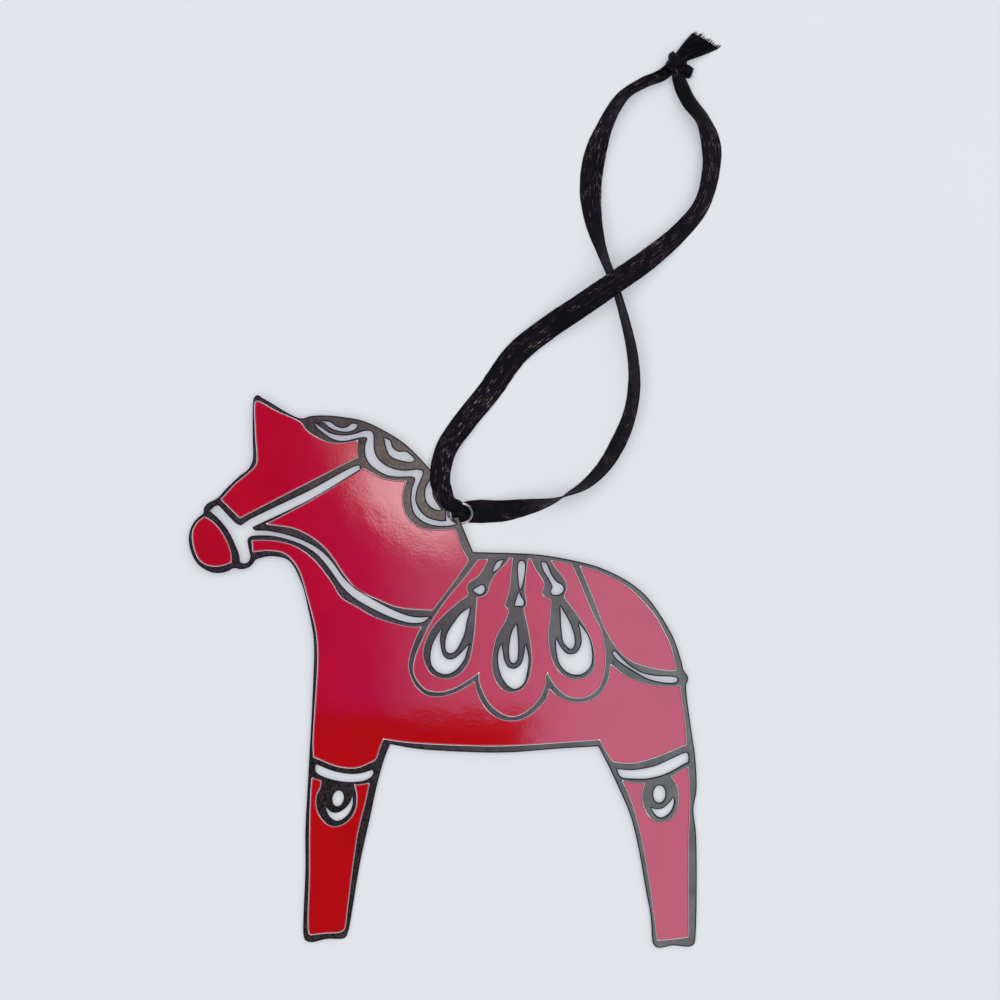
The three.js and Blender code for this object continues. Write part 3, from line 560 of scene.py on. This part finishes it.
def fibre(start, direction, length, radius, rng, bend):
    """A loose thread: a thin tapering tube that wanders off its direction."""
    sides, steps = 5, 5
    direction = Vector(direction).normalized()
    drift = Vector([rng.uniform(-bend, bend) for _ in range(3)])
    point = Vector(start)
    vertices, faces = [], []
    for i in range(steps + 1):
        heading = (direction + drift * (i / steps)).normalized()
        side = heading.orthogonal().normalized()
        other = heading.cross(side)
        thin = radius * (1 - 0.55 * i / steps)
        for k in range(sides):
            a = 2 * math.pi * k / sides
            vertices.append(np.array(point + side * math.cos(a) * thin + other * math.sin(a) * thin))
        point = point + heading * (length / steps)
        if point.z < 0.05:
            point.z = 0.05
    for i in range(steps):
        a, b = i * sides, (i + 1) * sides
        for k in range(sides):
            n = (k + 1) % sides
            faces.append((a + k, a + n, b + n, b + k))
    faces.append(tuple(range(sides))[::-1])
    faces.append(tuple(range(steps * sides, (steps + 1) * sides)))
    uvs = [(3.0 * i / len(vertices), 1.0) for i in range(len(vertices))]
    return vertices, faces, uvs


def fray(rows, widths, rng, clumps, reach, radius, splay, slant=0.0):
    """Loose threads past the end of a strip, caught together in pointed clumps."""
    tangent, across, up = ribbon_frames(rows, closed=False)
    end, t, w = rows[-1, :3], tangent[-1], across[-1]
    made = []
    for clump in range(clumps):
        middle = -1 + (2 * clump + 1) / clumps
        length = reach * rng.uniform(0.35, 1.0)
        lean = splay * middle + rng.uniform(-0.15, 0.15)
        tip = end + w * middle * widths[-1] / 2 + t * (length + slant * middle) + w * lean * length
        tip = tip + up[-1] * rng.uniform(-0.12, 0.18)
        for thread in range(THREADS_PER_CLUMP):
            s = middle + (2 * (thread + 0.5) / THREADS_PER_CLUMP - 1) * 0.9 / clumps
            root = end + w * s * widths[-1] / 2 * 0.98 + t * (slant * s - 0.3)
            root = root + up[-1] * rng.uniform(-0.06, 0.06)
            heading = tip + w * rng.uniform(-0.10, 0.10) - root
            stretch = np.linalg.norm(heading) * rng.uniform(0.75, 1.1)
            made.append(fibre(root, heading, stretch, radius, rng, 0.12))
    return made


def folded_strip(points, widths, folds, depth, slant=0.0):
    """An open strip along rows of x, y, z, roll, cup whose cloth is pleated lengthways."""
    rows = spline(points, 0.16, closed=False)
    width = np.interp(np.linspace(0, 1, len(rows)), np.linspace(0, 1, len(widths)), widths)
    tangent, across, up = ribbon_frames(rows, closed=False)
    vertices, faces, uvs, _ = strip(rows, (across, up), width, False, resting=False)
    size = len(vertices) // len(rows)
    for i in range(len(rows)):
        for k in range(size):
            s = uvs[i * size + k, 1] / width[i] * 2 - 1
            lift = depth * math.cos(s * math.pi * folds + 0.4 * math.sin(i * 0.2))
            vertices[i * size + k] += up[i] * lift + tangent[i] * slant * s * i / len(rows)
    return rows, width, vertices, faces, uvs


def make_tail():
    """The long end beyond the knot, fanned out to a slanting frayed edge."""
    low, high = (np.array(corner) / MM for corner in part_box("ribbon_tail"))
    knot_low, knot_high = (np.array(corner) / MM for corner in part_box("ribbon_knot"))
    root = (knot_low + knot_high) / 2 + np.array((0.45, 0.75, 0.3))
    tip = np.array((low[0] + 2.95, low[1] + 2.35, 0.5))
    middle = root * 0.5 + tip * 0.5 + np.array((0, 0, 0.12))
    points = [(*root, 8, 120), (*middle, 4, 40), (*tip, 0, 14)]
    slant = -0.95
    rows, width, vertices, faces, uvs = folded_strip(points, [1.7, 2.5, 3.2, 3.75], 5, 0.11, slant)
    rng = random.Random(11)
    threads = fray(rows, width, rng, 13, 0.75, 0.05, 0.12, slant)
    whole = joined([(list(vertices), faces, uvs)] + threads)
    tail = new_piece("ribbon_tail_frayed", whole[0] * MM, whole[1], "ribbon", [SATIN],
                     ("ribbon_tail",))
    set_uvs(tail, whole[2])
    return tail


def make_stub():
    """The short end, curled up against the knot with a few threads loose."""
    low, high = (np.array(corner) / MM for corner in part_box("ribbon_stub"))
    middle = (low + high) / 2
    points = [
        (middle[0] - 1.2, middle[1] + 0.45, 1.15, 10, 200),
        (middle[0] - 0.45, middle[1] + 0.10, 1.05, 0, 225),
        (middle[0] + 0.15, middle[1] - 0.15, 0.90, -10, 240),
    ]
    rows, width, vertices, faces, uvs = folded_strip(points, [2.4, 3.3, 2.9], 3, 0.08)
    rng = random.Random(5)
    threads = fray(rows, [w * 0.5 for w in width], rng, 5, 0.4, 0.045, 0.5)
    whole = joined([(list(vertices), faces, uvs)] + threads)
    stub = new_piece("ribbon_stub_frayed", whole[0] * MM, whole[1], "ribbon", [SATIN],
                     ("ribbon_stub",))
    set_uvs(stub, whole[2])
    return stub


ribbon_loop, ribbon_path, ribbon_length = make_ribbon()
knot_piece = make_knot()
tail_piece = make_tail()
stub_piece = make_stub()

# ---------------------------------------------------------------- outlines from the CAD plate


class PlatePlane:
    """The leaning plate's own directions: x, v up the plate, w out of its face."""

    def __init__(self):
        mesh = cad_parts["plate"].data
        mesh.calc_loop_triangles()
        count = len(mesh.vertices)
        points = np.zeros(count * 3)
        mesh.vertices.foreach_get("co", points)
        self.points = points.reshape(-1, 3) / MM
        self.triangles = np.array([t.vertices[:] for t in mesh.loop_triangles])
        a, b, c = (self.points[self.triangles[:, k]] for k in range(3))
        normals = np.cross(b - a, c - a)
        area = np.linalg.norm(normals, axis=1)
        unit = normals / np.maximum(area, 1e-12)[:, None]
        back = (unit[:, 2] < -0.99) & (area > 1e-6)
        normal = -(normals[back].sum(0))
        self.up = normal / np.linalg.norm(normal)
        self.along = np.cross(self.up, (1, 0, 0))
        self.along /= np.linalg.norm(self.along)
        heights = self.points @ self.up
        self.base = heights.min()
        self.heights = heights - self.base
        self.thickness = self.heights.max()

    def local(self, points):
        return np.column_stack([points[:, 0], points @ self.along])

    def world(self, xy, w):
        """Points in metres from x, v and height above the back, in millimetres."""
        xy = np.asarray(xy, float).reshape(-1, 2)
        w = np.broadcast_to(np.asarray(w, float), len(xy))
        made = np.zeros((len(xy), 3))
        made[:, 0] = xy[:, 0]
        made += xy[:, 1:] * self.along + (w + self.base)[:, None] * self.up
        return made * MM

    def loops(self, height):
        """Closed outlines of the flat faces at a height above the back."""
        wanted = (np.abs(self.heights[self.triangles] - height) < 0.02).all(axis=1)
        keys = {}
        flat = self.local(self.points)
        names = []
        for x, y in np.round(flat, 3):
            names.append(keys.setdefault((x, y), len(keys)))
        places = np.array(list(keys))
        edges = set()
        for triangle in self.triangles[wanted]:
            t = [names[k] for k in triangle]
            for a, b in ((t[0], t[1]), (t[1], t[2]), (t[2], t[0])):
                if a == b:
                    continue
                if (b, a) in edges:
                    edges.discard((b, a))
                else:
                    edges.add((a, b))
        after = {}
        for a, b in sorted(edges):
            after.setdefault(a, []).append(b)
        made = []
        while after:
            start = min(after)
            loop, here = [], start
            while here in after:
                loop.append(here)
                following = after[here].pop()
                if not after[here]:
                    del after[here]
                here = following
            if len(loop) > 2:
                made.append(places[loop])
        return made


def signed_area(loop):
    x, y = loop[:, 0], loop[:, 1]
    return 0.5 * np.sum(x * np.roll(y, -1) - y * np.roll(x, -1))


def smoothed(loop):
    """A CAD outline made smooth between its corners, anticlockwise, with even short steps."""
    if signed_area(loop) < 0:
        loop = loop[::-1]
    kept = [loop[0]]
    for point in loop[1:]:
        if np.linalg.norm(point - kept[-1]) > CLOSEST_POINTS:
            kept.append(point)
    if np.linalg.norm(kept[0] - kept[-1]) < CLOSEST_POINTS:
        kept.pop()
    points = np.array(kept)
    before = points - np.roll(points, 1, axis=0)
    after = np.roll(points, -1, axis=0) - points
    turn = np.abs(np.arctan2(before[:, 0] * after[:, 1] - before[:, 1] * after[:, 0],
                             (before * after).sum(axis=1)))
    corner = turn > CORNER_TURN
    count = len(points)
    made = []
    for i in range(count):
        p1, p2 = points[i], points[(i + 1) % count]
        p0 = 2 * p1 - p2 if corner[i] else points[i - 1]
        p3 = 2 * p2 - p1 if corner[(i + 1) % count] else points[(i + 2) % count]
        rows = np.array([p0, p1, p2, p3])
        rows = np.column_stack([rows, np.zeros(4)])
        curve = spline(rows, OUTLINE_STEP, closed=False)
        first = max(1, round(np.linalg.norm(p1 - p0) / OUTLINE_STEP))
        steps = max(1, round(np.linalg.norm(p2 - p1) / OUTLINE_STEP))
        made.extend(curve[first:first + steps, :2])
    return np.array(made)


def normals_in(loop):
    """Unit directions to the left of an anticlockwise outline, which is its inside."""
    edge = np.roll(loop, -1, axis=0) - np.roll(loop, 1, axis=0)
    edge /= np.maximum(np.linalg.norm(edge, axis=1), 1e-9)[:, None]
    return np.column_stack([-edge[:, 1], edge[:, 0]])


def distance_tree(loops):
    fine = []
    for loop in loops:
        following = np.roll(loop, -1, axis=0)
        for share in (0, 0.2, 0.4, 0.6, 0.8):
            fine.append(loop * (1 - share) + following * share)
    fine = np.vstack(fine)
    tree = KDTree(len(fine))
    for i, (x, y) in enumerate(fine):
        tree.insert((x, y, 0), i)
    tree.balance()
    return tree


def triangulated(loops, loose):
    """Triangles between outlines (even-odd), with loose points inside. Returns points, triangles
    and each outline's point numbers."""
    points, edges, spans = [], [], []
    for loop in loops:
        start = len(points)
        count = len(loop)
        points.extend(Vector(p) for p in loop)
        edges.extend((start + k, start + (k + 1) % count) for k in range(count))
        spans.append((start, count))
    points.extend(Vector(p) for p in loose)
    found, links, faces, from_point, from_edge, _ = delaunay_2d_cdt(points, edges, [], 0, 1e-7)
    number = {}
    for index, sources in enumerate(from_point):
        for source in sources:
            number[source] = index
    walls = {tuple(sorted(links[k])) for k, sources in enumerate(from_edge) if sources}
    sides = {}
    for index, face in enumerate(faces):
        for k in range(3):
            sides.setdefault(tuple(sorted((face[k], face[(k + 1) % 3]))), []).append(index)
    inside = [None] * len(faces)
    queue = []
    for edge, owners in sides.items():
        if len(owners) == 1 and inside[owners[0]] is None:
            inside[owners[0]] = edge in walls
            queue.append(owners[0])
    while queue:
        face = queue.pop()
        for k in range(3):
            edge = tuple(sorted((faces[face][k], faces[face][(k + 1) % 3])))
            for other in sides[edge]:
                if inside[other] is None:
                    inside[other] = inside[face] != (edge in walls)
                    queue.append(other)
    kept = [tuple(face) for face, keep in zip(faces, inside) if keep]
    flat = np.array([tuple(p) for p in found])
    a, b, c = (flat[[f[k] for f in kept]] for k in range(3))
    turn = (b[:, 0] - a[:, 0]) * (c[:, 1] - a[:, 1]) - (b[:, 1] - a[:, 1]) * (c[:, 0] - a[:, 0])
    kept = [f if t > 0 else f[::-1] for f, t in zip(kept, turn)]
    numbers = [[number[start + k] for k in range(count)] for start, count in spans]
    return flat, kept, numbers


def inset_points(loop, inwards, distance, tree):
    """Points at a distance from an outline, without those that come near another edge."""
    moved = loop + normals_in(loop) * (distance if inwards else -distance)
    return [tuple(p) for p in moved if tree.find((*p, 0))[2] > 0.96 * distance]


def wall(upper, lower):
    """Quads between two rows of point numbers round the same anticlockwise outline."""
    count = len(upper)
    return [(lower[k], lower[(k + 1) % count], upper[(k + 1) % count], upper[k])
            for k in range(count)]


def cap(loops, rows):
    """Flat triangles that close the outlines, whose points already have these numbers."""
    _, faces, numbers = triangulated(loops, [])
    rename = {}
    for numbered, row in zip(numbers, rows):
        rename.update(zip(numbered, row))
    return [tuple(rename[k] for k in face) for face in faces]


# ---------------------------------------------------------------- the plate and its enamel


def edge_drop(distance, rounding):
    """How far a rounded-over edge has dropped at a distance in from its wall."""
    reach, depth = rounding
    inside = np.clip(1 - distance / reach, 0, 1)
    return depth * (1 - np.sqrt(1 - inside ** 2))


def make_plate(plane, outside, holes, fields, floor_height):
    top = plane.thickness
    open_loops = [outside] + holes
    open_tree = distance_tree(open_loops)
    field_tree = distance_tree(fields)
    every_tree = distance_tree(open_loops + fields)
    loose = []
    for distance in EDGE_ROWS:
        loose += inset_points(outside, True, distance, every_tree)
        for hole in holes:
            loose += inset_points(hole, False, distance, every_tree)
    for distance in FIELD_ROWS:
        for field in fields:
            loose += inset_points(field, False, distance, every_tree)
    flat, faces, numbers = triangulated(open_loops + fields, loose)
    to_open = np.array([open_tree.find((*p, 0))[2] for p in flat])
    to_field = np.array([field_tree.find((*p, 0))[2] for p in flat])
    height = top - edge_drop(to_open, EDGE_ROUND) - edge_drop(to_field, FIELD_ROUND)
    vertices = [plane.world(flat, height)]
    # painted shade, darkest at the outline and the hole edges
    edge = [np.interp(to_open, EDGE_PAINTED_SHADE, (1, 0))]
    count = len(flat)

    def level(loop, w, shade):
        nonlocal count
        vertices.append(plane.world(loop, w))
        edge.append(np.full(len(loop), shade))
        made = list(range(count, count + len(loop)))
        count += len(loop)
        return made

    # painted shade on the new rows: full black under the plate, 0.6 down at the field floors
    under = []
    for k, loop in enumerate(open_loops):
        under.append(level(loop, 0.0, 1.0))
        sides = wall(numbers[k], under[k])
        faces += sides if k == 0 else [face[::-1] for face in sides]
    faces += [face[::-1] for face in cap(open_loops, under)]
    for k, loop in enumerate(fields):
        lower = level(loop, floor_height, 0.6)
        faces += [face[::-1] for face in wall(numbers[len(open_loops) + k], lower)]
        faces += cap([loop], [lower])
    plate = new_piece("horse_plate", np.vstack(vertices), faces, "horse", [METAL],
                      ("plate",))
    plate.data.set_sharp_from_angle(angle=SHARP)
    point_values(plate, "edge", np.concatenate(edge))
    # painted highlight on the lip round each field
    lip_painted_highlight = np.zeros(count)
    lip_painted_highlight[:len(flat)] = np.interp(to_field, PAINTED_HIGHLIGHT_REACH, (1, 0))
    point_values(plate, "lip_painted_highlight", lip_painted_highlight)
    return plate


def make_enamel(plane, name, loop, floor_height):
    """One filling: a flat glossy pool that climbs a little up the walls of its field."""
    top = plane.thickness
    tree = distance_tree([loop])
    reach = [distance for distance, _ in MENISCUS]
    drops = [drop for _, drop in MENISCUS]
    loose = []
    for distance in reach[1:]:
        loose += inset_points(loop, True, distance, tree)
    low, high = loop.min(0), loop.max(0)
    rows = int((high[1] - low[1]) / (ENAMEL_GRID * 0.866)) + 1
    columns = int((high[0] - low[0]) / ENAMEL_GRID) + 1
    for j in range(rows):
        y = low[1] + j * ENAMEL_GRID * 0.866
        for i in range(columns):
            x = low[0] + (i + 0.5 * (j % 2)) * ENAMEL_GRID
            if tree.find((x, y, 0))[2] > reach[-1] + 0.12:
                loose.append((x, y))
    flat, faces, numbers = triangulated([loop], loose)
    used = sorted({k for face in faces for k in face})
    place = {k: i for i, k in enumerate(used)}
    flat = flat[used]
    faces = [tuple(place[k] for k in face) for face in faces]
    ring = [place[k] for k in numbers[0]]
    away = np.array([tree.find((*p, 0))[2] for p in flat])
    swells = [noise.noise(Vector((x * WAVES_PER_MM, y * WAVES_PER_MM, 3.0))) for x, y in flat]
    wave = np.array(swells) * (ENAMEL_WAVE * np.clip(away / WAVE_FADE, 0, 1))
    height = top - np.interp(away, reach, drops) + wave
    vertices = [plane.world(flat, height), plane.world(loop, floor_height + 0.01)]
    lower = list(range(len(flat), len(flat) + len(loop)))
    faces += wall(ring, lower)
    faces += [face[::-1] for face in cap([loop], [lower])]
    return new_piece(name + "_pool", np.vstack(vertices), faces, "horse", [ENAMEL],
                     (name,))


def make_horse():
    plane = PlatePlane()
    heights = np.unique(np.round(plane.heights, 2))
    floor_height = [h for h in heights if 0.1 < h < plane.thickness - 0.1][0]
    back = [smoothed(loop) for loop in plane.loops(0.0)]
    back.sort(key=lambda loop: -abs(signed_area(loop)))
    fields = [smoothed(loop) for loop in plane.loops(floor_height)]
    make_plate(plane, back[0], back[1:], fields, floor_height)
    names = [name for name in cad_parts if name.startswith("enamel_")]
    for name in sorted(names):
        low, high = (np.array(corner)[:2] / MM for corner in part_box(name))
        centre = (low + high) / 2

        def mismatch(loop):
            return np.abs((loop.min(0) + loop.max(0)) / 2 - centre).sum()

        make_enamel(plane, name, min(fields, key=mismatch), floor_height)


# ---------------------------------------------------------------- the ring


def make_ring():
    """Round wire bent into a ring, its two cut ends butted together."""
    low, high = (np.array(corner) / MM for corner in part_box("jump_ring"))
    radius = (high[0] - low[0]) / 2 - WIRE_RADIUS
    centre = (low + high) / 2
    slope = math.asin(((high[2] - low[2]) / 2 - WIRE_RADIUS) / radius)
    east = np.array((1.0, 0.0, 0.0))
    north = np.array((0.0, math.cos(slope), math.sin(slope)))
    out = np.cross(east, north)
    steps, sides = 96, 16
    cut = math.radians(205)
    gap = math.radians(2.2)
    vertices, faces = [], []
    for i in range(steps + 1):
        a = cut + gap / 2 + (2 * math.pi - gap) * i / steps
        side = math.cos(a) * east + math.sin(a) * north
        step_out = 0.05 * (i / steps - 0.5)
        end = min(i, steps - i)
        thick = WIRE_RADIUS * (0.86 if end == 0 else 1.0)
        for k in range(sides):
            b = 2 * math.pi * k / sides
            vertices.append(centre + side * (radius + math.cos(b) * thick)
                            + out * (math.sin(b) * thick + step_out))
    for i in range(steps):
        a, b = i * sides, (i + 1) * sides
        for k in range(sides):
            n = (k + 1) % sides
            faces.append((a + k, b + k, b + n, a + n))
    faces.append(tuple(range(sides)))
    faces.append(tuple(range(steps * sides, (steps + 1) * sides))[::-1])
    return new_piece("jump_ring_wire", np.array(vertices) * MM, faces, "ring", [WIRE],
                     ("jump_ring",))


make_horse()
make_ring()

# ---------------------------------------------------------------- floor and light


def make_floor():
    half = 1.5
    floor = bpy.data.meshes.new("floor")
    floor.from_pydata([(-half, -half, 0), (half, -half, 0), (half, half, 0), (-half, half, 0)], [],
                      [(0, 1, 2, 3)])
    made = bpy.data.objects.new("floor", floor)
    floor.materials.append(floor_material())
    bpy.context.scene.collection.objects.link(made)


def smooth_step(tree, value, low, high):
    return add(tree, "ShaderNodeMapRange", {"Value": value, "From Min": low, "From Max": high},
               interpolation_type="SMOOTHSTEP").outputs["Result"]


def calc(tree, operation, a, b):
    return add(tree, "ShaderNodeMath", {0: a, 1: b}, operation=operation).outputs[0]


def ellipse_distance(tree, u, v, centre, radii, turn=0.0):
    """How far a direction is from a centre, in units of the ellipse's radii."""
    du = calc(tree, "SUBTRACT", u, centre[0])
    dv = calc(tree, "SUBTRACT", v, centre[1])
    c, s = math.cos(turn), math.sin(turn)
    first = calc(tree, "ADD", calc(tree, "MULTIPLY", du, c / radii[0]),
                 calc(tree, "MULTIPLY", dv, s / radii[0]))
    second = calc(tree, "SUBTRACT", calc(tree, "MULTIPLY", dv, c / radii[1]),
                  calc(tree, "MULTIPLY", du, s / radii[1]))
    return calc(tree, "SQRT", calc(tree, "ADD", calc(tree, "MULTIPLY", first, first),
                                   calc(tree, "MULTIPLY", second, second)), 0.0)


def make_sky():
    """The studio above: a dark patch and a veiled window straight overhead, which the flat horse
    mirrors, then a broad bright surround, and dimmer walls. Colours are a quarter of radiance."""
    world = bpy.data.worlds.new("studio")
    bpy.context.scene.world = world
    world.use_nodes = True
    tree = world.node_tree
    tree.nodes.clear()
    direction = add(tree, "ShaderNodeTexCoord").outputs["Generated"]
    x, y, z = add(tree, "ShaderNodeSeparateXYZ", {"Vector": direction}).outputs
    height = calc(tree, "MAXIMUM", z, 0.05)
    u = calc(tree, "DIVIDE", x, height)
    v = calc(tree, "DIVIDE", y, height)
    across = add(tree, "ShaderNodeMapRange", {"Value": u, "From Min": -0.11, "From Max": 0.07})
    window = ramp(tree, across.outputs["Result"], [
        (0.00, (0.02, 0.00, 0.07)), (0.20, (0.04, 0.00, 0.12)), (0.36, (0.08, 0.01, 0.22)),
        (0.41, (0.12, 0.10, 0.34)), (0.46, (0.20, 0.19, 0.46)), (0.55, (0.30, 0.29, 0.56)),
        (0.68, (0.38, 0.40, 0.74)), (0.80, (0.50, 0.60, 0.98)),
    ])
    lower = smooth_step(tree, v, -0.1010, -0.0960)
    corner = smooth_step(tree, u, 0.005, 0.016)
    shade = mixed(tree, calc(tree, "MAXIMUM", lower, corner), (0.01, 0.0, 0.01, 1), window)
    glow = smooth_step(tree, ellipse_distance(tree, u, v, (-0.036, -0.006), (0.040, 0.020), -0.5),
                       1.0, 0.3)
    glowing = mixed(tree, glow, shade, (0.56, 0.46, 0.50, 1))
    glare = smooth_step(tree, ellipse_distance(tree, u, v, (-0.032, -0.023), (0.036, 0.018), -0.64),
                        0.95, 0.2)
    overhead = mixed(tree, glare, glowing, (1.75, 1.7, 1.85, 1))
    outside = smooth_step(tree, ellipse_distance(tree, u, v, (-0.020, -0.075), (0.135, 0.145)),
                          1.0, 1.35)
    side = add(tree, "ShaderNodeMapRange", {"Value": calc(tree, "ADD", u, v), "From Min": -0.7,
                                            "From Max": 0.7})
    surround = mixed(tree, side.outputs["Result"], (0.42, 0.44, 0.50, 1), (0.68, 0.68, 0.66, 1))
    inner = mixed(tree, outside, overhead, surround)
    walls = smooth_step(tree, ellipse_distance(tree, u, v, (0.0, 0.0), (1.0, 1.0)), 0.55, 0.95)
    lit = mixed(tree, walls, inner, (0.060, 0.064, 0.105, 1))
    patch = smooth_step(tree, ellipse_distance(tree, u, v, (-0.55, -0.55), (0.35, 0.35)), 1.0, 0.4)
    full = mixed(tree, patch, lit, (0.95, 0.93, 0.95, 1))
    sky = add(tree, "ShaderNodeBackground", {"Color": full, "Strength": 4.0})
    add(tree, "ShaderNodeOutputWorld", {"Surface": sky.outputs["Background"]})


def make_light(name, location, target, size, power, colour):
    data = bpy.data.lights.new(name, "AREA")
    data.shape = "RECTANGLE"
    data.size, data.size_y = size
    data.energy = power
    data.color = colour
    made = bpy.data.objects.new(name, data)
    made.location = location
    made.rotation_euler = (Vector(target) - Vector(location)).to_track_quat("-Z", "Y").to_euler()
    made.visible_glossy = False
    bpy.context.scene.collection.objects.link(made)


make_floor()
make_sky()
make_light("key", (0.75, 0.95, 0.85), (0.0, 0.02, 0.0), (1.0, 1.0), 4.0, (1.0, 0.99, 0.95))
bpy.context.scene.view_settings.view_transform = "Standard"
